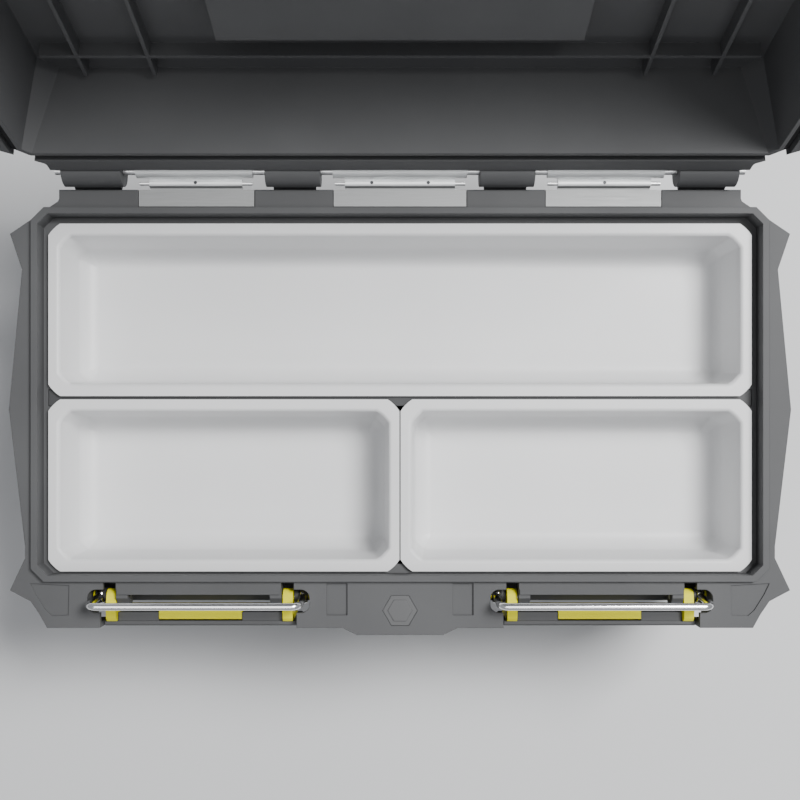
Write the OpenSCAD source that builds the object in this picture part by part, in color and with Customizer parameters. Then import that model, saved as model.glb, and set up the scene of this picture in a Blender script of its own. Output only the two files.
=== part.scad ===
// Rugged two-latch toolbox with three lift-out bins under a hinged lid, drawn with the lid open.
// Origin: centre of the flat base. +X runs along the hinge, -Y is the latch side, +Z is up.

/* [Case] */
// Width over the rim ridge
case_w = 510; // [420:1:620]
// Depth over the rim ridge
case_d = 258.8; // [210:0.1:320]
// Height of the body from the base to the top of the rim ridge
body_h = 185; // [150:1:240]
// Height of the lid above the rim ridge
lid_h = 58; // [45:1:80]
// Chamfer across the case corners
corner_c = 9; // [5:0.5:20]
// Moulded wall thickness of body and lid
wall = 4; // [3:0.1:6]
// Width of the rim ridge the lid seals on
rim_w = 4.5; // [3.5:0.1:7]
// Height of the rim ridge above the flange
rim_rise = 4; // [3:0.1:6]
// Thickness of the flange plate around the rim
flange_t = 3.5; // [2.5:0.1:5]
// Depth of the skirt that hangs from the flange edge
skirt_h = 25; // [15:1:40]

/* [Bins] */
// Drop from the rim ridge to the step that carries the bins
step_drop = 14; // [10:0.5:25]
// Height of each bin below its lip
bin_h = 44; // [30:1:60]
// Wall thickness of the bins
bin_t = 2.2; // [1.6:0.1:3.5]
// Thickness of the bin lip
lip_t = 3; // [2:0.1:4]
// Chamfer across the bin lip corners
bin_c = 7.5; // [4:0.5:12]
// Gap between a bin and whatever it sits on
seat_gap = 0.3; // [0.3:0.05:1]
// Share of the depth left to the front bins
front_share = 0.503; // [0.4:0.001:0.6]

/* [Hinge] */
// Diameter of the hinge rod
rod_d = 5; // [4:0.1:8]
// Outside diameter of the lid barrels
barrel_d = 21; // [16:0.5:26]
// Gap between the lid barrels and the rear edge of the flange
barrel_gap = 0.7; // [0.5:0.1:3]
// Height of the hinge axis above the rim ridge
axis_up = 2; // [0:0.1:6]
// Angle from closed to fully open
open_angle = 105; // [90:1:120]
// Radial running clearance on every pin and rod
run_fit = 0.05; // [0.02:0.01:0.1]

/* [Latches] */
// Distance of each latch centre from the middle of the case
latch_x = 140; // [110:1:170]
// Half distance between the middles of the two lever arms
arm_x = 61.6; // [50:0.1:70]
// Width of a lever arm
arm_w = 7; // [5:0.1:10]
// Diameter of the bail wire
wire_d = 5; // [4:0.1:6]
// Height of the bail from its pivot to its bar
bail_l = 34; // [28:0.5:45]
// Forward lean of the bail when it is off the lid
bail_lean = 5.5; // [3:0.1:12]
// Radius from the lever pivot to the bail pivot
throw_r = 6; // [4:0.1:8]
// Diameter of the lever pivot pins
pin_d = 4; // [3:0.1:6]

/* [Handle] */
// Width of the carry handle over its arms
handle_w = 200; // [140:1:260]
// Reach of the carry handle from its pivot to the grip
handle_reach = 52; // [40:1:70]

/* [Hidden] */
$fn = 64;
hw = case_w/2;
hd = case_d/2;
ix = hw - rim_w;
iy = hd - rim_w;
zr = body_h;
zf = body_h - rim_rise;
zs = body_h - step_drop;
ztop = body_h + lid_h;
// inner edge of the step: the tub is narrower than the rim
sx = hw - 12.7;
sy_f = hd - 10.8;
sy_r = hd - 13.8;
hz = body_h + axis_up;
front_y = hd + 32.4;
rear_y = hd + 12.9;
hy = rear_y + barrel_gap + barrel_d/2;
zl = zf + 0.5;
// nose on each barrel that meets the rear skirt when the lid is fully open
stop_a = 56;
nose_r = (barrel_gap + barrel_d/2 - 3*sin(stop_a) - 0.437)/cos(stop_a);
// latch pivots
wr = wire_d/2;
by = -(hd + 4.1 + 3*wr);
py = by - 0.5;
pz = body_h - 14;
bz = pz - throw_r;
leg_x = arm_x + arm_w/2 + 4.25 + wr;
bush_r = 4.2;
eye_r = 6.2;
hook_y = -(hd + 3.4 + wr);
// catch groove, from its front wall to its rear wall
gf = hook_y - wr - 0.7;
gr = hook_y + wr + 0.5;
bail_hook = asin((hook_y - by)/bail_l);
hook_z = bz + bail_l*cos(bail_hook);
catch_w = leg_x - 11.85;
// bins
bx = hw - 8.5;
rear_bin_y1 = hd - 9.1;
split_y = -hd + front_share*2*hd - 1.5;
front_bin_y0 = -hd + 5.8;
bin_gap = 2.1;
rail_y = split_y - bin_gap/2;
grey = [0.44, 0.445, 0.45];
dark = [0.25, 0.255, 0.26];
pale = [0.82, 0.82, 0.82];
yellow = [0.88, 0.85, 0.22];
steel = [0.85, 0.86, 0.87];
rubber = [0.12, 0.12, 0.12];

// ---- plan shapes ----

module oct(x0, x1, y0, y1, c) {
    polygon([[x0+c, y0], [x1-c, y0], [x1, y0+c], [x1, y1-c], [x1-c, y1], [x0+c, y1],
        [x0, y1-c], [x0, y0+c]]);
}

function mir(p) = [for (i = [len(p)-1:-1:0]) [-p[i][0], p[i][1]]];

// flange plan: nose and straight latch edge in front, bumpers at the corners, a wide bulge per side
flange_half = [[30, -(hd+37.3)], [40, -front_y], [hw-10, -front_y], [hw-4.8, -(hd+23)],
    [hw+1.4, -(hd+13.9)], [hw+15.7, -(hd+6.3)], [hw+5.2, -(hd-16)], [hw+5.2, -(hd-24)],
    [hw+16.4, -0.08*hd], [hw+7.3, 0.672*hd], [hw+15.7, 0.863*hd], [hw-17.6, hd+4.8],
    [hw-18.4, hd+6.6], [hw-18.4, rear_y]];

module flange_plan(o = 0) {
    offset(delta = o) polygon(concat(flange_half, mir(flange_half)));
}

module corner_zone() {
    for (s = [-1, 1]) {
        translate([s*(hw+2), hd-16]) square([48, 90], center = true);
        translate([s*(hw+2), -(hd+6)]) square([48, 76], center = true);
    }
}

// opening in the flange for one latch: lever bay, arm slots and the two bail pockets
module latch_bay_plan() {
    bay = arm_x + arm_w/2 + 3.1;
    translate([-bay, -front_y-20]) square([2*bay, front_y+20+by+2.1]);
    for (s = [-1, 1]) {
        translate([s*(arm_x+0.2)-arm_w/2-0.9, -(hd+12)]) square([arm_w+1.8, 12-1.2]);
        intersection() {
            offset(r = 6, $fn = 32) offset(delta = -6)
                translate([s*(leg_x-9)-14.4, by-10.5]) square([28.8, 16.2]);
            translate([s*(leg_x-4.5)-10.5, by-12]) square([21, 20]);
        }
    }
}

// ---- body ----

module tub(h0, h1, inset, grow) {
    // the tub draws in towards the base
    hull() {
        translate([0, 0, h1-0.01]) linear_extrude(0.01)
            oct(-(sx+grow), sx+grow, -(sy_f+grow), sy_r+grow, corner_c);
        translate([0, 0, h0]) linear_extrude(0.01)
            oct(-(sx+grow-inset), sx+grow-inset, -(sy_f+grow-inset), sy_r+grow-inset, corner_c);
    }
}

module gusset(x, y0, y1, z0, z1, t) {
    // upright rib in a plane of constant x, sloping away below
    translate([x-t/2, 0, 0]) rotate([90, 0, 90]) linear_extrude(t)
        polygon([[y0, z1], [y1, z1], [y1, z0], [y0, z1-skirt_h+4]]);
}

module side_gusset(y, s, t) {
    translate([0, y+t/2, 0]) rotate([90, 0, 0]) linear_extrude(t)
        polygon([[s*(sx+1), zf-1], [s*(hw+7), zf-1], [s*(hw+7), zf-skirt_h+6],
            [s*(sx-1), zf-70]]);
}

module body_outside() difference() {
    union() {
        tub(0, zs-1, 6.5, wall);
        // collar that carries the rim ridge
        translate([0, 0, zs-4.5]) linear_extrude(zr-zs+4.5) oct(-hw, hw, -hd, hd, corner_c);
        // flange plate, then its skirt
        translate([0, 0, zf-flange_t]) linear_extrude(flange_t) flange_plan();
        translate([0, 0, zf-skirt_h]) linear_extrude(skirt_h-0.5) difference() {
            flange_plan();
            flange_plan(-3.4);
        }
        // corner bumpers, open underneath
        translate([0, 0, 14]) linear_extrude(zf-15, scale = 1) difference() {
            intersection() {
                flange_plan(-1);
                corner_zone();
            }
            offset(delta = -3.6) intersection() {
                flange_plan(-1);
                corner_zone();
            }
        }
        for (x = [latch_x-leg_x-7.65, latch_x+leg_x+7.65], s = [-1, 1])
            gusset(s*x, -(hd+31), -(hd-12), zf-95, zf-1, 3.4);
        for (x = [24, 72, 120, 168, 216], s = [-1, 1])
            gusset(s*x, hd+11, hd-15, zf-60, zf-1, 3);
        for (y = [-70, -10, 50], s = [-1, 1]) side_gusset(y, s, 3);
        // front apron between the latches
        translate([0, 0, zf-78]) linear_extrude(78-1) difference() {
            polygon([[-52, -(hd-12)], [-52, -(hd+26)], [-30, -(hd+33)], [30, -(hd+33)],
                [52, -(hd+26)], [52, -(hd-12)]]);
            polygon([[-48.6, -(hd-8)], [-48.6, -(hd+23.6)], [-29.4, -(hd+29.4)],
                [29.4, -(hd+29.4)], [48.6, -(hd+23.6)], [48.6, -(hd-8)]]);
        }
    }
    // latch openings
    for (l = [-1, 1]) translate([l*latch_x, 0, zf-200]) linear_extrude(230)
        latch_bay_plan();
}

// shelf that closes the bottom of a latch bay behind the lever
module latch_shelf(l) {
    w = leg_x+7.65;
    translate([l*latch_x-w, -(hd+18), pz-25]) cube([2*w, 30, 4]);
}

module body_shell() color(grey) difference() {
    union() {
        body_outside();
        for (l = [-1, 1]) latch_shelf(l);
        // stiffening belts round the tub
        tub(16, 30, 0.5, wall-3.75);
        tub(84, 90, 0.2, wall-1.5);
        // lugs that hold the lever pins, under the flange
        for (l = [-1, 1], s = [-1, 1]) translate([l*latch_x + s*(arm_x-arm_w/2-4.7), 0, 0])
            rotate([90, 0, 90]) translate([0, 0, -4]) linear_extrude(8) union() {
                translate([py, pz]) circle(r = 6.4);
                polygon([[py-6.2, pz+2], [py, zf-1], [-(hd-14), zf-1], [-(hd-14), pz-26],
                    [py-3, pz-6]]);
            }
    }
    // storage space, the step for the bins, and the opening above it
    tub(wall, zs+1, 6.5-wall*0.02, 0);
    translate([0, 0, zs]) linear_extrude(60) oct(-ix, ix, -iy, iy, corner_c-2);
    // notches for the ends of the bin rail
    translate([-(sx+5.3), rail_y-5.9, zs-3]) cube([2*(sx+5.3), 11.8, 10]);
    // bores for the lever pins
    for (l = [-1, 1], s = [-1, 1]) translate([l*latch_x + s*(arm_x-4.2), py, pz])
        rotate([0, -s*90, 0]) translate([0, 0, -1]) cylinder(d = pin_d, h = 9.2);
    // recesses for the hinge leaves
    for (r = leaf_x) translate([r[0]-0.5, hd+1, zf-1.5]) cube([r[1]-r[0]+1, 30, 5]);
    // badge seat, blind slots and corner panels on the flange
    translate([0, -(hd+20.4), zf-1.3]) cylinder(d = 24.4, h = 5, $fn = 6);
    for (s = [-1, 1]) {
        translate([s*43.75-7.2, -(hd+23.6), zf-1.6]) cube([14.4, 22, 5]);
        translate([0, 0, zf-0.9]) linear_extrude(4) polygon([[s*(hw+1.5), -(hd+1.6)],
            [s*(hw-2.4), -(hd+9.6)], [s*(hw-9), -(hd+20.1)], [s*(hw-13.5), -(hd+24.1)],
            [s*(hw-24.8), -(hd+23.6)], [s*(hw-25.3), -(hd+3.1)]]);
        // pad seats in the base
        for (y = [-86, 83]) translate([s*(sx-54), y, -1]) linear_extrude(3.2)
            square([70.3, 28.3], center = true);
    }
}

module base_pads() color(rubber)
    for (s = [-1, 1], y = [-86, 83]) translate([s*(sx-54), y, 0]) linear_extrude(2.2)
        square([70, 28], center = true);

module front_badge() color(dark) translate([0, -(hd+20.4), zf-1.3]) union() {
    cylinder(d = 24, h = 1, $fn = 6);
    cylinder(d = 17, h = 1.3, $fn = 6);
}

// carries the inner edges of the bins across the middle of the body
module bin_rail() color(dark) union() {
    translate([-(sx+5), rail_y-5.6, zs-3]) cube([2*(sx+5), 11.2, 3]);
    translate([-(sx-1.5), rail_y-5.6, zs-22]) difference() {
        cube([2*(sx-1.5), 11.2, 19.5]);
        translate([-1, 2.2, -1]) cube([2*sx, 6.8, 17]);
    }
}

// ---- hinge ----

leaf_x = [[-(latch_x+41.2), -(latch_x-38.8)], [-46, 46], [latch_x-38.8, latch_x+41.2]];
barrel_x = [[54.5, 92], [hw-65, hw-24.5]];

module hinge_rod() color(steel) translate([-(hw-18), hy, hz]) rotate([0, 90, 0])
    cylinder(d = rod_d, h = 2*(hw-18));

module hinge_leaf(i) {
    r = leaf_x[i];
    c = (r[0]+r[1])/2;
    w = r[1]-r[0];
    bw = i == 1 ? 76 : 64;
    color(steel) difference() {
        union() {
            translate([r[0], hd+1.3, zf-1.5]) cube([w, rear_y-hd-1.3, 1.5]);
            translate([c-bw/2, 0, 0]) rotate([90, 0, 90]) linear_extrude(bw)
                polygon([[rear_y-0.2, zf-1.5], [rear_y-0.2, zf], [hd+16.9, zf+1],
                    [hd+16.9, zf-1.5]]);
            translate([c-bw/2, hd+16.9, zf+1]) rotate([0, 90, 0]) cylinder(d = 6.2, h = bw);
            translate([c-bw/2, 0, 0]) rotate([90, 0, 90]) linear_extrude(bw)
                polygon([[hd+17.4, zf-1.6], [hd+18.6, zf+3.4], [hy-1.5, hz+3.2],
                    [hy+1, hz-4]]);
            translate([r[0], hy, hz]) rotate([0, 90, 0]) cylinder(d = rod_d+4.4, h = w);
        }
        translate([r[0]-1, hy, hz]) rotate([0, 90, 0]) cylinder(d = rod_d, h = w+2);
        translate([c-bw, hd+16.9, zf+1]) rotate([0, 90, 0]) cylinder(d = 3, h = 2*bw);
        for (x = i == 1 ? [-19.5, 19.5] : [0])
            translate([c+x, hd+16.9, zf+2.7]) cylinder(d = 2.4, h = 4);
    }
}

module hinge_leaf_left() hinge_leaf(0);
module hinge_leaf_center() hinge_leaf(1);
module hinge_leaf_right() hinge_leaf(2);

module hinge_leaf_pins() color(steel)
    for (i = [0:2]) translate([(leaf_x[i][0]+leaf_x[i][1])/2, hd+16.9, zf+1])
        rotate([0, 90, 0]) cylinder(d = 3, h = i == 1 ? 90 : 78, center = true);

module hinge_set_screws() color(dark)
    for (i = [0:2], x = i == 1 ? [-19.5, 19.5] : [0])
        translate([(leaf_x[i][0]+leaf_x[i][1])/2+x, hd+16.9, zf+2.7])
            cylinder(d = 2.4, h = 1.2);

// ---- lid, drawn closed and then swung open about the hinge ----

module swung() {
    translate([0, hy, hz]) rotate([-open_angle, 0, 0]) translate([0, -hy, -hz]) children();
}

module lid_block(z0, z1, o0, o1) {
    hull() {
        translate([0, 0, z0]) linear_extrude(0.01) oct(-(hw+o0), hw+o0, -(hd+o0), hd+o0, corner_c+o0/2);
        translate([0, 0, z1-0.01]) linear_extrude(0.01)
            oct(-(hw+o1), hw+o1, -(hd+o1), hd+o1, corner_c+2);
    }
}

well_w = handle_w/2+8;
well_y0 = -36;
well_y1 = handle_reach-22+26;
well_h = 17;
hpy = -22;
hpz = ztop-8.5;

module groove(w, d) {
    difference() {
        oct(-w/2, w/2, -d/2, d/2, 8);
        oct(-(w/2-4), w/2-4, -(d/2-4), d/2-4, 5.5);
    }
}

module lid_shell() color(grey) swung() difference() {
    union() {
        difference() {
            union() {
                lid_block(zl+7, ztop, 3.5, -15);
                // flange and corner bumpers, the bumpers hollow underneath
                difference() {
                    union() {
                        translate([0, 0, zl]) linear_extrude(7.2) difference() {
                            flange_plan();
                            for (l = [-1, 1]) translate([l*latch_x-(leg_x+6.4), -front_y-20])
                                square([2*leg_x+12.8, 49.2]);
                        }
                        translate([0, 0, zl+7]) linear_extrude(lid_h-22) intersection() {
                            flange_plan(-1);
                            corner_zone();
                        }
                    }
                    translate([0, 0, zl-1]) linear_extrude(lid_h-22+4.5) difference() {
                        offset(delta = -3.6) intersection() {
                            flange_plan(-1);
                            corner_zone();
                        }
                        oct(-(hw+4), hw+4, -(hd+4), hd+4, corner_c+2);
                    }
                }
                for (r = barrel_x, s = [-1, 1]) translate([s < 0 ? -r[1] : r[0], 0, 0]) {
                    rotate([90, 0, 90]) linear_extrude(r[1]-r[0])
                        polygon([[hd-2, zl], [rear_y, zl], [hy-8.6, hz-1], [hy, hz+barrel_d/2-0.2],
                            [hy-7, hz+barrel_d/2+3], [hd-4, hz+barrel_d/2+14]]);
                    translate([0, hy, hz]) rotate([0, 90, 0]) cylinder(d = barrel_d, h = r[1]-r[0]);
                    translate([4, hy, hz]) rotate([open_angle+stop_a, 0, 0]) translate([0, -nose_r, -3])
                        cube([r[1]-r[0]-8, 10, 6]);
                }
            }
            // hollow inside, seal channel and the catch recess
            lid_block(zl-1, ztop-wall, -(rim_w+3.6), -15-wall);
        }
        // ribs under the top, catch shelves and the handle well
        for (x = [-205, -160, 160, 205]) translate([x-1.3, -(hd-24), ztop-14])
            cube([2.6, 2*(hd-24), 12]);
        for (y = [-82, 86]) translate([-(hw-26), y-1.3, ztop-14]) cube([2*(hw-26), 2.6, 12]);
        for (l = [-1, 1]) translate([l*latch_x-catch_w, 0, 0]) rotate([90, 0, 90])
            linear_extrude(2*catch_w) polygon([[-(hd-6), hook_z-wr-8], [-(hd+3), hook_z-wr-6.4],
                [gf-1.8, hook_z-wr-4.6], [gf-1.8, hook_z+0.2], [gf, hook_z+0.2],
                [gf, hook_z-wr-1.4], [gr, hook_z-wr-1.4], [gr+0.3, hook_z+1], [-(hd-8), hook_z+9]]);
        translate([-(well_w+wall), well_y0-wall, ztop-well_h-wall])
            cube([2*(well_w+wall), well_y1-well_y0+2*wall, well_h+wall-1]);
        for (s = [-1, 1]) translate([s*(well_w+wall), hpy, hpz]) rotate([0, s*90, 0])
            cylinder(d = 14, h = 5);
    }
    // channel for the seal and the rim ridge
    translate([0, 0, zl-1]) linear_extrude(9.2) difference() {
        oct(-(hw+1), hw+1, -(hd+1), hd+1, corner_c+0.4);
        oct(-(ix-1), ix-1, -(iy-1), iy-1, corner_c-2.4);
    }
    translate([-well_w, well_y0, ztop-well_h]) cube([2*well_w, well_y1-well_y0, well_h+5]);
    // grooves that frame the panels on top
    translate([0, 0, ztop-1.4]) linear_extrude(5) {
        for (s = [-1, 1]) translate([s*(hw+well_w-16)/2, 0]) groove(hw-well_w-42, 2*hd-60);
        translate([0, (well_y0-hd+30-wall)/2]) groove(2*well_w-2, hd-38+well_y0);
        translate([0, (well_y1+hd-30+wall)/2]) groove(2*well_w-2, hd-38-well_y1);
    }
    // hinge bores, handle bores
    for (r = barrel_x, s = [-1, 1]) translate([s < 0 ? -r[1]-1 : r[0]-1, hy, hz])
        rotate([0, 90, 0]) cylinder(r = rod_d/2+run_fit, h = r[1]-r[0]+2);
    for (s = [-1, 1]) translate([s*(well_w-1), hpy, hpz]) rotate([0, s*90, 0])
        cylinder(d = 6, h = wall+3);
}

module lid_seal() color(rubber) swung() translate([0, 0, zr+0.35]) linear_extrude(zl+8.2-zr-0.4)
    difference() {
        oct(-(hw+0.8), hw+0.8, -(hd+0.8), hd+0.8, corner_c+0.3);
        oct(-(ix-0.8), ix-0.8, -(iy-0.8), iy-0.8, corner_c-2.3);
    }

module lid_strike(l) color(steel) swung() translate([l*latch_x-catch_w+2, 0, 0]) rotate([90, 0, 90])
    linear_extrude(2*catch_w-4) polygon([[gf, hook_z-wr-1.4], [gf, hook_z-0.4], [gf+0.4, hook_z-0.4],
        [gf+0.4, hook_z-wr-0.4], [gr-0.3, hook_z-wr-0.4], [gr-0.3, hook_z-wr-1.4]]);

module lid_strike_left() lid_strike(-1);
module lid_strike_right() lid_strike(1);

// ---- carry handle, folded into the lid top ----

module handle_side(s) {
    a = handle_w/2;
    translate([s*(a-7)-6, 0, 0]) difference() {
        union() {
            translate([0, hpy, hpz]) rotate([0, 90, 0]) cylinder(d = 13, h = 12);
            translate([0, hpy, hpz-6.5]) cube([12, handle_reach, 13]);
        }
        translate([-1, hpy, hpz]) rotate([0, 90, 0]) cylinder(r = 3+run_fit, h = 14);
    }
}

module carry_handle() color(dark) swung() {
    a = handle_w/2;
    union() {
        handle_side(-1);
        handle_side(1);
        difference() {
            translate([-(a-1), hpy+handle_reach-8, hpz-6.5]) cube([2*(a-1), 16, 13]);
            for (s = [-1, 1]) translate([s*(a-1), hpy+handle_reach+8, hpz])
                rotate([0, 0, 45]) cube([9, 9, 20], center = true);
            translate([-62, hpy+handle_reach-9, hpz-7]) cube([124, 18, 14]);
        }
        translate([-64, hpy+handle_reach, hpz]) rotate([0, 90, 0]) cylinder(d = 9, h = 128);
    }
}

module handle_grip() color(rubber) swung() translate([-61.6, hpy+handle_reach, hpz])
    rotate([0, 90, 0]) difference() {
        union() {
            cylinder(d = 15, h = 123.2);
            for (i = [0:6]) translate([0, 0, 12.6+i*16.3]) rotate([0, 0, 0])
                cylinder(d = 16, h = 8);
        }
        translate([0, 0, -1]) cylinder(d = 9, h = 130);
    }

module handle_pins() color(steel) swung() for (s = [-1, 1])
    translate([s*(handle_w/2-14), hpy, hpz]) rotate([0, s*90, 0])
        cylinder(d = 6, h = well_w+wall+1.5-(handle_w/2-14));

// ---- bins ----

module bin_slice(x0, x1, y0, y1, in, z, c) {
    translate([0, 0, z]) linear_extrude(0.02) offset(r = 7, $fn = 32) offset(delta = -7)
        oct(x0+in, x1-in, y0+in, y1-in, c);
}

// drafted basin with a soft fillet round its floor
module basin(x0, x1, y0, y1, z1, h, f) {
    d = h*0.07;
    hull() {
        bin_slice(x0, x1, y0, y1, 0, z1-0.02, bin_c);
        for (a = [0:15:90])
            bin_slice(x0, x1, y0, y1, d+f*(1-cos(a)), z1-h+f*(1-sin(a)), bin_c+1);
    }
}

module bin(x0, x1, y0, y1, lx, ly) {
    z = zs+seat_gap;
    color(pale) difference() {
        union() {
            translate([0, 0, z]) linear_extrude(lip_t) oct(x0, x1, y0, y1, bin_c);
            basin(x0+lx-bin_t, x1-lx+bin_t, y0+ly-bin_t, y1-ly+bin_t, z+1, bin_h+1, 11);
        }
        basin(x0+lx, x1-lx, y0+ly, y1-ly, z+lip_t+0.1, bin_h+lip_t+0.1-bin_t, 9.5);
    }
}

module bin_rear() bin(-bx, bx, split_y, rear_bin_y1, 8, 8.6);
module bin_front_left() bin(-bx, -0.3, front_bin_y0, split_y-bin_gap, 8, 8.6);
module bin_front_right() bin(0.3, bx, front_bin_y0, split_y-bin_gap, 8, 8.6);

// ---- latches, drawn with the lever down and the bail leaning off the lid ----

module lever(l) {
    o = arm_x-arm_w/2;
    color(yellow) translate([l*latch_x, py, pz]) difference() {
        union() {
            for (s = [-1, 1]) {
                translate([s > 0 ? o : -o-arm_w, 0, 0]) rotate([90, 0, 90]) linear_extrude(arm_w)
                    union() {
                        circle(r = 5.8);
                        translate([0.5, -throw_r]) circle(r = 3.6);
                        polygon([[0, 5.8], [-9, 7.2], [-14.4, 6.6], [-16.6, 4.4], [-16.6, -30],
                            [-9, -30], [-9, -9], [-3, -9], [4.1, -6], [5.6, 0]]);
                    }
                translate([s*(o+arm_w-1), 0.5, -throw_r]) rotate([0, s*90, 0]) cylinder(d = 5, h = 11.5);
                translate([s*(o+arm_w+10.3), 0.5, -throw_r]) rotate([0, s*90, 0]) cylinder(d = 7.4, h = 1.1);
            }
            // cross bar and the grip tongue above it
            translate([-o-1, -16.6, -30]) cube([2*o+2, 7.6, 9.4]);
            translate([-29, -15.4, -26]) cube([58, 6, 28.8]);
        }
        for (s = [-1, 1]) translate([s*(o-1), 0, 0]) rotate([0, s*90, 0])
            cylinder(r = pin_d/2+run_fit, h = arm_w+3);
    }
}

module cover(l) {
    o = arm_x-arm_w/2;
    color(grey) translate([l*latch_x, py, pz]) union() {
        translate([-(o+arm_w+1.9), 0, 0]) rotate([90, 0, 90]) linear_extrude(2*(o+arm_w+1.9))
            polygon([[-16.6, 2.6], [-19, 2.6], [-20.2, 1], [-21, -44], [-25.5, -57], [-23, -58],
                [-17.6, -45]]);
        for (s = [-1, 1]) translate([s > 0 ? 29.2 : -o+0.4, -16.7, -20.4])
            cube([o-29.6, 6, 22.4]);
        for (x = [-44, -22, 0, 22, 44]) translate([x-1, 0, 0]) rotate([90, 0, 90]) linear_extrude(2)
            polygon([[-16.7, -30.2], [-10, -30.2], [-17.7, -46]]);
    }
}

module lever_pins(l) {
    o = arm_x-arm_w/2;
    color(steel) for (s = [-1, 1]) translate([l*latch_x+s*(o-8.7), py, pz]) rotate([0, s*90, 0])
        cylinder(d = pin_d, h = arm_w+8.3);
}

module bushes(l) {
    o = arm_x+arm_w/2;
    color(dark) translate([l*latch_x, by, bz]) for (s = [-1, 1]) translate([s*(o+0.4), 0, 0])
        rotate([0, s*90, 0]) difference() {
            union() {
                cylinder(r = bush_r, h = 9.4);
                cylinder(r = 5.4, h = 3);
            }
            translate([0, 0, -1]) cylinder(r = 2.5+run_fit, h = 14);
        }
}

module bail(l) {
    b = 6;
    r = wire_d/2;
    color(steel) translate([l*latch_x, by, bz]) rotate([bail_lean, 0, 0]) difference() {
        union() {
            translate([-(leg_x-b), 0, bail_l]) rotate([0, 90, 0]) cylinder(r = r, h = 2*(leg_x-b));
            for (s = [-1, 1]) {
                translate([s*(leg_x-b), 0, bail_l-b]) rotate([90, 0, 0]) rotate([0, 0, s > 0 ? 0 : 90])
                    rotate_extrude(angle = 90) translate([b, 0]) circle(r = r);
                translate([s*leg_x, 0, 3]) cylinder(r = r, h = bail_l-b-3);
                translate([s*leg_x-r, 0, 0]) rotate([0, 90, 0]) cylinder(r = eye_r, h = 2*r);
            }
        }
        for (s = [-1, 1]) translate([s*leg_x-5, 0, 0]) rotate([0, 90, 0])
            cylinder(r = bush_r+run_fit, h = 10);
    }
}

module latch_lever_left() lever(-1);
module latch_lever_right() lever(1);
module latch_cover_left() cover(-1);
module latch_cover_right() cover(1);
module latch_pins_left() lever_pins(-1);
module latch_pins_right() lever_pins(1);
module latch_bushes_left() bushes(-1);
module latch_bushes_right() bushes(1);
module latch_bail_left() bail(-1);
module latch_bail_right() bail(1);

body_shell();
base_pads();
front_badge();
bin_rail();
hinge_rod();
hinge_leaf_left();
hinge_leaf_center();
hinge_leaf_right();
hinge_leaf_pins();
hinge_set_screws();
lid_shell();
lid_seal();
lid_strike_left();
lid_strike_right();
carry_handle();
handle_grip();
handle_pins();
bin_rear();
bin_front_left();
bin_front_right();
latch_lever_left();
latch_cover_left();
latch_pins_left();
latch_bushes_left();
latch_bail_left();
latch_lever_right();
latch_cover_right();
latch_pins_right();
latch_bushes_right();
latch_bail_right();
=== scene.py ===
from math import cos, pi, radians

import bmesh
import bpy
from mathutils import Matrix, Vector


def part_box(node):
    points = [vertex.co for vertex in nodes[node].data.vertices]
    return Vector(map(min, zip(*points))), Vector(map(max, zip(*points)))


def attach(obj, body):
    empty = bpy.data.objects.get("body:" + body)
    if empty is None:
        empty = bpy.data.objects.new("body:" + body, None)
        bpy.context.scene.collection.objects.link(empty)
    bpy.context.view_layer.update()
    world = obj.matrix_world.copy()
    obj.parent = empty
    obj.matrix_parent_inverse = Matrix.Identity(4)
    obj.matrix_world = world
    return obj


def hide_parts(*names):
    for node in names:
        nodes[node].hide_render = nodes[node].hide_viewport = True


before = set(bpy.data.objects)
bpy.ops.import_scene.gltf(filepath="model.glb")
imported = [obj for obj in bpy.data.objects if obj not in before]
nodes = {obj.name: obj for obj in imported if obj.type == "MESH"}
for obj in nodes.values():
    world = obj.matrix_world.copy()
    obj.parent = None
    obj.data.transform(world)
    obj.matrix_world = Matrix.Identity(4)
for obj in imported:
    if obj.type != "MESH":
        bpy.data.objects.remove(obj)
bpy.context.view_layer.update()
scene = bpy.context.scene


# ---- Studio ----
# A pale seamless floor, a soft lamp high beside the open lid, a weak strip on the latch side
# and an overhead panel that only metal and gloss pick up, in an even white room. The camera
# hangs over the open bins.
def studio_floor():
    bm = bmesh.new()
    bmesh.ops.create_grid(bm, x_segments=1, y_segments=1, size=4.0)
    mesh = bpy.data.meshes.new("studio_floor")
    bm.to_mesh(mesh)
    bm.free()
    floor = bpy.data.objects.new("studio_floor", mesh)
    scene.collection.objects.link(floor)
    mat = bpy.data.materials.new("floor_paper")
    mat.use_nodes = True
    nt = mat.node_tree
    bsdf = nt.nodes["Principled BSDF"]
    coord = nt.nodes.new("ShaderNodeTexCoord")
    noise = nt.nodes.new("ShaderNodeTexNoise")
    noise.inputs["Scale"].default_value = 3.0
    ramp = nt.nodes.new("ShaderNodeValToRGB")
    ramp.color_ramp.elements[0].color = (0.74, 0.745, 0.75, 1)
    ramp.color_ramp.elements[1].color = (0.78, 0.785, 0.79, 1)
    nt.links.new(coord.outputs["Object"], noise.inputs["Vector"])
    nt.links.new(noise.outputs["Fac"], ramp.inputs["Fac"])
    nt.links.new(ramp.outputs["Color"], bsdf.inputs["Base Color"])
    bsdf.inputs["Roughness"].default_value = 0.9
    mesh.materials.append(mat)


def soft_lamp(name, place, target, width, height, power, lights_matt=True):
    lamp = bpy.data.lights.new(name, "AREA")
    lamp.shape = "RECTANGLE"
    lamp.size = width
    lamp.size_y = height
    lamp.energy = power
    ob = bpy.data.objects.new(name, lamp)
    ob.location = place
    ob.rotation_euler = (Vector(target) - Vector(place)).to_track_quat("-Z", "Y").to_euler()
    ob.visible_diffuse = lights_matt
    scene.collection.objects.link(ob)


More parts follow.
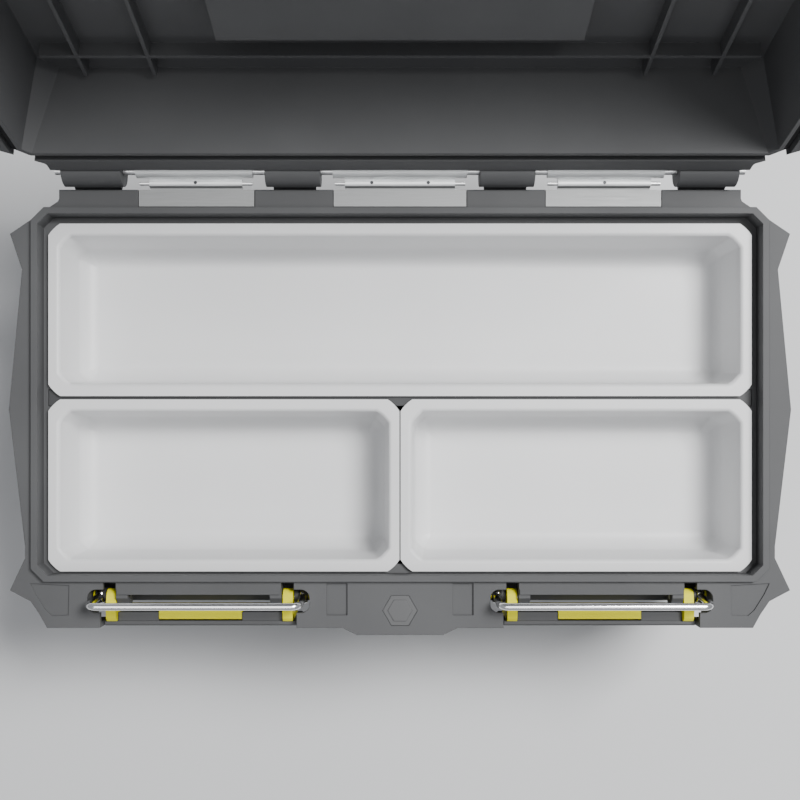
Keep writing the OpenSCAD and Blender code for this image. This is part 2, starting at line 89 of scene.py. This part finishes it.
studio_floor()
soft_lamp("key_lamp", (1.05, 0.62, 2.1), (0, 0, 0.15), 0.8, 0.8, 74)
soft_lamp("strip_lamp", (0, -1.2, 2.1), (0, 0, 0.15), 3.2, 0.3, 6)
soft_lamp("gloss_lamp", (0, -0.1, 2.6), (0, -0.1, 0), 2.6, 1.8, 34, lights_matt=False)
world = bpy.data.worlds.new("white_room")
world.use_nodes = True
world.node_tree.nodes["Background"].inputs["Color"].default_value = (0.93, 0.95, 1.0, 1)
world.node_tree.nodes["Background"].inputs["Strength"].default_value = 0.33
scene.world = world

rim_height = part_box("body_shell")[1].z
camera_above_rim, camera_forward = 0.70, 0.0314
lens = bpy.data.cameras.new("over_the_bins")
lens.sensor_width = 36
lens.lens = 45.65
lens.shift_y = 0.05
lens.clip_start = 0.02
camera = bpy.data.objects.new("over_the_bins", lens)
camera.location = (0, -camera_forward, rim_height + camera_above_rim)
camera.rotation_euler = (0, 0, 0)
scene.collection.objects.link(camera)
scene.camera = camera


# ---- Body shell ----
# The main tub with its rim, flange, corner bumpers and latch bays: one injection moulding in
# grey polypropylene with a fine spark-eroded grain, softly rounded on every edge.
def coat(piece, material):
    if piece.material_slots:
        for slot in piece.material_slots:
            slot.material = material
    else:
        piece.data.materials.append(material)


def grained_plastic(name, low, high, rough, grain, depth, edge=0.0007):
    mat = bpy.data.materials.new(name)
    mat.use_nodes = True
    nt = mat.node_tree
    bsdf = nt.nodes["Principled BSDF"]
    bsdf.inputs["Specular IOR Level"].default_value = 0.3
    coord = nt.nodes.new("ShaderNodeTexCoord")
    cloud = nt.nodes.new("ShaderNodeTexNoise")
    cloud.inputs["Scale"].default_value = 9.0
    cloud.inputs["Detail"].default_value = 5.0
    tint = nt.nodes.new("ShaderNodeValToRGB")
    tint.color_ramp.elements[0].position = 0.3
    tint.color_ramp.elements[1].position = 0.7
    tint.color_ramp.elements[0].color = (*low, 1)
    tint.color_ramp.elements[1].color = (*high, 1)
    fine = nt.nodes.new("ShaderNodeTexNoise")
    fine.inputs["Scale"].default_value = grain
    fine.inputs["Detail"].default_value = 3.0
    gloss = nt.nodes.new("ShaderNodeMapRange")
    gloss.inputs["To Min"].default_value = rough - 0.06
    gloss.inputs["To Max"].default_value = rough + 0.06
    bump = nt.nodes.new("ShaderNodeBump")
    bump.inputs["Strength"].default_value = 0.35
    bump.inputs["Distance"].default_value = depth
    round_edge = nt.nodes.new("ShaderNodeBevel")
    round_edge.samples = 4
    round_edge.inputs["Radius"].default_value = edge
    for tex in (cloud, fine):
        nt.links.new(coord.outputs["Object"], tex.inputs["Vector"])
    nt.links.new(cloud.outputs["Fac"], tint.inputs["Fac"])
    nt.links.new(tint.outputs["Color"], bsdf.inputs["Base Color"])
    nt.links.new(fine.outputs["Fac"], gloss.inputs["Value"])
    nt.links.new(gloss.outputs["Result"], bsdf.inputs["Roughness"])
    nt.links.new(fine.outputs["Fac"], bump.inputs["Height"])
    nt.links.new(round_edge.outputs["Normal"], bump.inputs["Normal"])
    nt.links.new(bump.outputs["Normal"], bsdf.inputs["Normal"])
    return mat


shell_grey = grained_plastic("shell_grey_grained", (0.078, 0.079, 0.0815), (0.099, 0.1005, 0.103),
                             0.6, 1400.0, 0.00012)
coat(nodes["body_shell"], shell_grey)


# ---- Base pads ----
# Four strips of black moulded rubber pressed into seats in the base so that the box doesn't
# slide. Their edges are rounded by the mould, as the lid seal's are.
def moulded_rubber(node, body, material, round_over):
    bm = bmesh.new()
    bm.from_mesh(nodes[node].data)
    bm.transform(nodes[node].matrix_world)
    bmesh.ops.remove_doubles(bm, verts=bm.verts, dist=0.00001)
    bmesh.ops.recalc_face_normals(bm, faces=bm.faces)
    mesh = bpy.data.meshes.new(node + "_moulded")
    bm.to_mesh(mesh)
    bm.free()
    strip = bpy.data.objects.new(node + "_moulded", mesh)
    scene.collection.objects.link(strip)
    edge = strip.modifiers.new("round_over", "BEVEL")
    edge.width = round_over
    edge.segments = 3
    edge.limit_method = "ANGLE"
    edge.angle_limit = radians(35)
    mesh.materials.clear()
    mesh.materials.append(material)
    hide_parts(node)
    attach(strip, body)


rubber = grained_plastic("pad_rubber", (0.016, 0.016, 0.017), (0.026, 0.026, 0.027), 0.78, 700.0, 0.0002)
moulded_rubber("base_pads", "body", rubber, 0.0006)


# ---- Bin rail and front badge ----
# A dark cross rail clipped across the tub carries the inner edges of the bins, and a small
# plain six-sided badge is pressed into the flange between the latches.
trim_dark = grained_plastic("trim_dark_grained", (0.048, 0.049, 0.051), (0.064, 0.065, 0.067),
                            0.5, 1200.0, 0.0001)
badge_grey = grained_plastic("badge_grey", (0.085, 0.086, 0.088), (0.11, 0.111, 0.113),
                             0.45, 1600.0, 0.00006)
coat(nodes["bin_rail"], trim_dark)
coat(nodes["front_badge"], badge_grey)


# ---- Hinge ----
# Three folded leaves of brushed stainless steel on one long steel rod, their beaded edges held
# by thin pins and tiny set screws.
def worked_metal(name, colour, rough, stretch, amount):
    mat = bpy.data.materials.new(name)
    mat.use_nodes = True
    nt = mat.node_tree
    bsdf = nt.nodes["Principled BSDF"]
    bsdf.inputs["Metallic"].default_value = 1.0
    coord = nt.nodes.new("ShaderNodeTexCoord")
    turn = nt.nodes.new("ShaderNodeMapping")
    turn.inputs["Scale"].default_value = stretch
    lines = nt.nodes.new("ShaderNodeTexNoise")
    lines.inputs["Scale"].default_value = 1.0
    lines.inputs["Detail"].default_value = 4.0
    shade = nt.nodes.new("ShaderNodeValToRGB")
    shade.color_ramp.elements[0].position = 0.25
    shade.color_ramp.elements[1].position = 0.75
    shade.color_ramp.elements[0].color = (*[c * (1 - amount) for c in colour], 1)
    shade.color_ramp.elements[1].color = (*colour, 1)
    gloss = nt.nodes.new("ShaderNodeMapRange")
    gloss.inputs["To Min"].default_value = rough * 0.8
    gloss.inputs["To Max"].default_value = rough * 1.25
    bump = nt.nodes.new("ShaderNodeBump")
    bump.inputs["Strength"].default_value = 0.15
    bump.inputs["Distance"].default_value = 0.00004
    nt.links.new(coord.outputs["Object"], turn.inputs["Vector"])
    nt.links.new(turn.outputs["Vector"], lines.inputs["Vector"])
    nt.links.new(lines.outputs["Fac"], shade.inputs["Fac"])
    nt.links.new(shade.outputs["Color"], bsdf.inputs["Base Color"])
    nt.links.new(lines.outputs["Fac"], gloss.inputs["Value"])
    nt.links.new(gloss.outputs["Result"], bsdf.inputs["Roughness"])
    nt.links.new(lines.outputs["Fac"], bump.inputs["Height"])
    nt.links.new(bump.outputs["Normal"], bsdf.inputs["Normal"])
    return mat


def paint_bead_highlight(mat, bead_edge):
    # painted highlight: the base colour of the beads and sleeves behind this line is raised up to 2.7
    # times over the brushed plates, standing in for lamp light glinting on them
    nt = mat.node_tree
    place = nt.nodes.new("ShaderNodeSeparateXYZ")
    bead_highlight_step = nt.nodes.new("ShaderNodeMapRange")
    bead_highlight_step.inputs["From Min"].default_value = bead_edge
    bead_highlight_step.inputs["From Max"].default_value = bead_edge + 0.0004
    bead_highlight_step.inputs["To Min"].default_value = 1.0
    bead_highlight_step.inputs["To Max"].default_value = 2.7
    brighter = nt.nodes.new("ShaderNodeVectorMath")
    brighter.operation = "SCALE"
    nt.links.new(nt.nodes["Texture Coordinate"].outputs["Object"], place.inputs["Vector"])
    nt.links.new(place.outputs["Y"], bead_highlight_step.inputs["Value"])
    nt.links.new(nt.nodes["Color Ramp"].outputs["Color"], brighter.inputs["Vector"])
    nt.links.new(bead_highlight_step.outputs["Result"], brighter.inputs["Scale"])
    nt.links.new(brighter.outputs["Vector"], nt.nodes["Principled BSDF"].inputs["Base Color"])


leaf_steel = worked_metal("leaf_steel_brushed", (0.34, 0.345, 0.345), 0.58, (50, 900, 900), 0.22)
rod_steel = worked_metal("rod_steel_drawn", (0.93, 0.935, 0.935), 0.32, (40, 1500, 1500), 0.12)
bead_wall = 0.0012
# painted highlight on the hinge beads and sleeves, carried in the leaf steel's base colour
paint_bead_highlight(leaf_steel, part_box("hinge_set_screws")[0].y - bead_wall)
screw_steel = worked_metal("screw_steel_black", (0.07, 0.07, 0.075), 0.4, (900, 900, 900), 0.3)
for name in ("hinge_leaf_left", "hinge_leaf_center", "hinge_leaf_right"):
    coat(nodes[name], leaf_steel)
for name in ("hinge_rod", "hinge_leaf_pins"):
    coat(nodes[name], rod_steel)
coat(nodes["hinge_set_screws"], screw_steel)


# ---- Lid ----
# The lid is the same grey moulding as the body, with a soft black gasket laid in its channel
# and a bright steel wear strip on each of the two catches.
coat(nodes["lid_shell"], shell_grey)
moulded_rubber("lid_seal", "lid", rubber, 0.0006)
for name in ("lid_strike_left", "lid_strike_right"):
    coat(nodes[name], leaf_steel)


# ---- Carry handle ----
# A folding bail handle moulded in dark glass-filled nylon and hung on two steel pins in the
# lid, with a ribbed rubber sleeve pushed over its bar.
coat(nodes["carry_handle"], trim_dark)


def ribbed_grip(node, body, material):
    low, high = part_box(node)
    middle = (low + high) / 2
    radius, length = (high.z - low.z) / 2, high.x - low.x
    valley, crest, bore = 0.93, 1.07, 0.68
    rings, ring_pitch, ring_gap, plain_end = 62, 4, 1.5, 4
    bm = bmesh.new()
    bmesh.ops.create_cone(bm, cap_ends=False, segments=40, radius1=radius * valley,
                          radius2=radius * valley, depth=length)
    long_edges = [e for e in bm.edges if abs(e.verts[0].co.z - e.verts[1].co.z) > length / 2]
    bmesh.ops.subdivide_edges(bm, edges=long_edges, cuts=rings - 1)
    for v in bm.verts:
        step = (v.co.z / length + 0.5) * rings
        ribbed = plain_end < step < rings - plain_end and step % ring_pitch >= ring_gap
        swell = crest if ribbed else 1.0
        if step < 0.5 or step > rings - 0.5:
            swell = valley
        v.co.x *= swell
        v.co.y *= swell
    rims = [e for e in bm.edges if e.is_boundary]
    inner = bmesh.ops.extrude_edge_only(bm, edges=rims)["geom"]
    bmesh.ops.scale(bm, vec=(bore, bore, 1), verts=[g for g in inner if isinstance(g, bmesh.types.BMVert)])
    bmesh.ops.rotate(bm, cent=(0, 0, 0), matrix=Matrix.Rotation(pi / 2, 3, "Y"), verts=bm.verts)
    bmesh.ops.translate(bm, vec=middle, verts=bm.verts)
    bmesh.ops.recalc_face_normals(bm, faces=bm.faces)
    for f in bm.faces:
        f.smooth = True
    mesh = bpy.data.meshes.new("grip_sleeve")
    bm.to_mesh(mesh)
    bm.free()
    grip = bpy.data.objects.new("grip_sleeve", mesh)
    scene.collection.objects.link(grip)
    mesh.materials.append(material)
    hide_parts(node)
    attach(grip, body)


ribbed_grip("handle_grip", "handle", rubber)
coat(nodes["handle_pins"], rod_steel)


# ---- Lift-out bins ----
# Three shallow trays thermoformed in light grey polystyrene: drafted walls, a soft radius round
# the floor, and a flat lip with clipped corners that rests on the step and the rail.
def bin_plastic():
    mat = bpy.data.materials.new("bin_grey_satin")
    mat.use_nodes = True
    nt = mat.node_tree
    bsdf = nt.nodes["Principled BSDF"]
    coord = nt.nodes.new("ShaderNodeTexCoord")
    cloud = nt.nodes.new("ShaderNodeTexNoise")
    cloud.inputs["Scale"].default_value = 7.0
    cloud.inputs["Detail"].default_value = 4.0
    tint = nt.nodes.new("ShaderNodeValToRGB")
    tint.color_ramp.elements[0].position = 0.3
    tint.color_ramp.elements[1].position = 0.7
    tint.color_ramp.elements[0].color = (0.76, 0.762, 0.765, 1)
    tint.color_ramp.elements[1].color = (0.80, 0.802, 0.804, 1)
    ripple = nt.nodes.new("ShaderNodeTexNoise")
    ripple.inputs["Scale"].default_value = 320.0
    ripple.inputs["Detail"].default_value = 2.0
    gloss = nt.nodes.new("ShaderNodeMapRange")
    gloss.inputs["To Min"].default_value = 0.38
    gloss.inputs["To Max"].default_value = 0.5
    bump = nt.nodes.new("ShaderNodeBump")
    bump.inputs["Strength"].default_value = 0.2
    bump.inputs["Distance"].default_value = 0.00008
    bsdf.inputs["Subsurface Weight"].default_value = 0.08
    bsdf.inputs["Subsurface Radius"].default_value = (0.004, 0.004, 0.004)
    for tex in (cloud, ripple):
        nt.links.new(coord.outputs["Object"], tex.inputs["Vector"])
    nt.links.new(cloud.outputs["Fac"], tint.inputs["Fac"])
    nt.links.new(tint.outputs["Color"], bsdf.inputs["Base Color"])
    nt.links.new(ripple.outputs["Fac"], gloss.inputs["Value"])
    nt.links.new(gloss.outputs["Result"], bsdf.inputs["Roughness"])
    nt.links.new(ripple.outputs["Fac"], bump.inputs["Height"])
    nt.links.new(bump.outputs["Normal"], bsdf.inputs["Normal"])
    return mat


def formed_bin(node, body, material):
    low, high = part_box(node)
    lip_x, lip_y, clip, draft, sheet = 0.008, 0.0086, 0.0082, 0.0035, 0.0021
    floor_radius, brim_radius, corner_panel, hair = 0.012, 0.0026, 0.035, 0.0001
    x0, x1, y0, y1 = low.x + lip_x, high.x - lip_x, low.y + lip_y, high.y - lip_y
    floor_z = low.z + sheet + hair
    centre = Vector(((x0 + x1) / 2, (y0 + y1) / 2, 0))
    bm = bmesh.new()
    bmesh.ops.create_cube(bm, size=1.0)
    bmesh.ops.scale(bm, vec=(x1 - x0, y1 - y0, high.z - floor_z), verts=bm.verts)
    bmesh.ops.translate(bm, vec=centre + Vector((0, 0, (high.z + floor_z) / 2)), verts=bm.verts)
    bmesh.ops.delete(bm, geom=[f for f in bm.faces if f.normal.z > 0.9], context="FACES_ONLY")
    upright = [e for e in bm.edges if abs(e.verts[0].co.z - e.verts[1].co.z) > 0.01]
    bmesh.ops.bevel(bm, geom=upright, offset=clip, offset_type="OFFSET", affect="EDGES", segments=4,
                    profile=0.31, material=-1)
    floor_ring = [v for v in bm.verts if v.co.z < floor_z + 0.001]
    bmesh.ops.scale(bm, vec=(1 - 2 * draft / (x1 - x0), 1 - 2 * draft / (y1 - y0), 1),
                    space=Matrix.Translation(-centre), verts=floor_ring)
    foot = [e for e in bm.edges if e.verts[0].co.z < floor_z + 0.001 and e.verts[1].co.z < floor_z + 0.001]
    bmesh.ops.bevel(bm, geom=foot, offset=floor_radius, offset_type="OFFSET", affect="EDGES", segments=9,
                    profile=0.5, material=-1)
    mouth = [e for e in bm.edges if e.is_boundary]
    grown = bmesh.ops.extrude_edge_only(bm, edges=mouth)["geom"]
    for v in [g for g in grown if isinstance(g, bmesh.types.BMVert)]:
        v.co.x += lip_x - hair if v.co.x > centre.x else hair - lip_x
        v.co.y += lip_y - hair if v.co.y > centre.y else hair - lip_y
    bmesh.ops.recalc_face_normals(bm, faces=bm.faces)
    if [f for f in bm.faces if f.calc_center_median().z > high.z - hair][0].normal.z < 0:
        bmesh.ops.reverse_faces(bm, faces=bm.faces)
    brim = [e for e in bm.edges if len(e.link_faces) == 2 and e.calc_face_angle() > 1.2
            and e.verts[0].co.z > high.z - hair and e.verts[1].co.z > high.z - hair]
    bmesh.ops.bevel(bm, geom=brim, offset=brim_radius, offset_type="OFFSET", affect="EDGES", segments=5,
                    profile=0.5, material=-1)
    for spot, across in (((x0 + corner_panel, 0, 0), (1, 0, 0)), ((x1 - corner_panel, 0, 0), (1, 0, 0)),
                         ((0, y0 + corner_panel, 0), (0, 1, 0)), ((0, y1 - corner_panel, 0), (0, 1, 0))):
        bmesh.ops.bisect_plane(bm, geom=bm.verts[:] + bm.edges[:] + bm.faces[:], plane_co=spot,
                               plane_no=across)
    for f in bm.faces:
        f.smooth = True
    mesh = bpy.data.meshes.new(node + "_formed")
    bm.to_mesh(mesh)
    bm.free()
    tray = bpy.data.objects.new(node + "_formed", mesh)
    scene.collection.objects.link(tray)
    wall = tray.modifiers.new("sheet", "SOLIDIFY")
    wall.thickness = sheet
    wall.offset = -1
    edge = tray.modifiers.new("soft_edge", "BEVEL")
    edge.width = 0.0006
    edge.segments = 3
    edge.limit_method = "ANGLE"
    edge.angle_limit = radians(50)
    even = tray.modifiers.new("even_shading", "WEIGHTED_NORMAL")
    even.weight = 80
    even.keep_sharp = False
    mesh.materials.append(material)
    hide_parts(node)
    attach(tray, body)


bin_grey = bin_plastic()
formed_bin("bin_rear", "rear_bin", bin_grey)
formed_bin("bin_front_left", "front_left_bin", bin_grey)
formed_bin("bin_front_right", "front_right_bin", bin_grey)


# ---- Latches ----
# Each latch is a yellow acetal lever on two steel pins with a grey moulded cover snapped over
# it, dark bushes on its studs, and a bent bail of polished chrome-plated wire.
latch_yellow = grained_plastic("latch_yellow_acetal", (0.80, 0.735, 0.008), (0.90, 0.84, 0.016),
                               0.5, 900.0, 0.00005)
latch_yellow.node_tree.nodes["Principled BSDF"].inputs["Specular IOR Level"].default_value = 0.1
chrome = worked_metal("bail_chrome_plate", (0.95, 0.952, 0.955), 0.17, (25, 25, 25), 0.04)


def bent_bail(side, material):
    low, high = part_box("latch_bail_" + side)
    wire, eye, bend, eye_wall, into_eye = 0.0025, 0.0062, 0.006, 0.00192, 0.002
    leg = (high.x - low.x) / 2 - wire
    pivot = Vector(((low.x + high.x) / 2, high.y - eye, low.z + eye))
    lean = radians(5.5)
    tall = (high.z - wire - pivot.z) / cos(lean)
    bm = bmesh.new()
    foot = bmesh.ops.create_circle(bm, cap_ends=False, segments=24, radius=wire)["verts"]
    bmesh.ops.translate(bm, vec=(-leg, 0, eye - into_eye), verts=foot)
    path = [("push", (0, 0, tall - bend - eye + into_eye)), ("turn", (-leg + bend, 0, tall - bend)),
            ("push", (2 * (leg - bend), 0, 0)), ("turn", (leg - bend, 0, tall - bend)),
            ("push", (0, 0, -(tall - bend - eye + into_eye)))]
    ring = list(bm.edges)
    for move, where in path:
        if move == "push":
            out = bmesh.ops.extrude_edge_only(bm, edges=ring)["geom"]
            bmesh.ops.translate(bm, vec=where, verts=[g for g in out if isinstance(g, bmesh.types.BMVert)])
        else:
            out = bmesh.ops.spin(bm, geom=ring, cent=where, axis=(0, 1, 0), angle=pi / 2, steps=10,
                                 use_duplicate=False)["geom_last"]
        ring = [g for g in out if isinstance(g, bmesh.types.BMEdge)]
    for s in (-1, 1):
        loop = bmesh.ops.create_circle(bm, cap_ends=False, segments=14, radius=1.0)["verts"]
        bmesh.ops.scale(bm, vec=(wire, eye_wall / 2, 1), verts=loop)
        bmesh.ops.translate(bm, vec=(s * leg, eye - eye_wall / 2, 0), verts=loop)
        rim = list({e for v in loop for e in v.link_edges})
        bmesh.ops.spin(bm, geom=rim, cent=(0, 0, 0), axis=(1, 0, 0), angle=2 * pi, steps=40,
                       use_duplicate=False, use_merge=True)
    bmesh.ops.remove_doubles(bm, verts=bm.verts, dist=0.000001)
    bmesh.ops.recalc_face_normals(bm, faces=bm.faces)
    bmesh.ops.rotate(bm, cent=(0, 0, 0), matrix=Matrix.Rotation(lean, 3, "X"), verts=bm.verts)
    bmesh.ops.translate(bm, vec=pivot, verts=bm.verts)
    for f in bm.faces:
        f.smooth = True
    mesh = bpy.data.meshes.new("bail_wire_" + side)
    bm.to_mesh(mesh)
    bm.free()
    bail = bpy.data.objects.new("bail_wire_" + side, mesh)
    scene.collection.objects.link(bail)
    mesh.materials.append(material)
    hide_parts("latch_bail_" + side)
    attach(bail, "bail_" + side)


for side in ("left", "right"):
    coat(nodes["latch_lever_" + side], latch_yellow)
    coat(nodes["latch_cover_" + side], shell_grey)
    coat(nodes["latch_pins_" + side], rod_steel)
    coat(nodes["latch_bushes_" + side], trim_dark)
    bent_bail(side, chrome)
